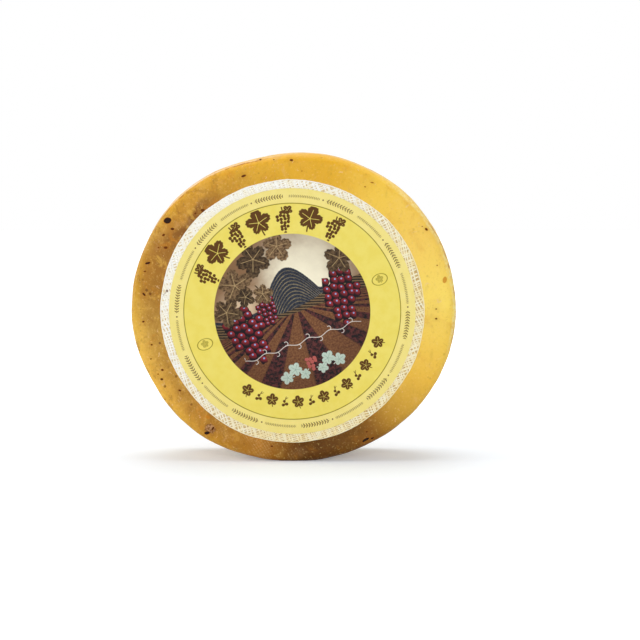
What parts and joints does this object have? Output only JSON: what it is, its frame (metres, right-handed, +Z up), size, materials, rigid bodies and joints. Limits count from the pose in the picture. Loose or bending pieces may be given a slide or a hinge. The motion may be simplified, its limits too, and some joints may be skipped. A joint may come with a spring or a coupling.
{
  "type": "wheel of drunken cheese",
  "caption": "Whole round cheese with a washed ochre rind, standing on its heel, with a round printed paper label on gauze on one face.",
  "frame": {"origin": "on the resting surface, straight below the middle of the wheel", "axes": "+Z up, the wheel's axis along Y, the labelled face looks towards -Y"},
  "size_m": [0.3257, 0.0808, 0.307],
  "materials": {
    "rind": "satin, slightly waxy, mottled",
    "gauze": "open woven cotton, matt",
    "label_print": "printed paper, dull satin"
  },
  "bodies": {
    "root": {"cheese_wheel": "rind", "label_gauze": "gauze", "label_paper": "label_print"}
  },
  "joints": []
}
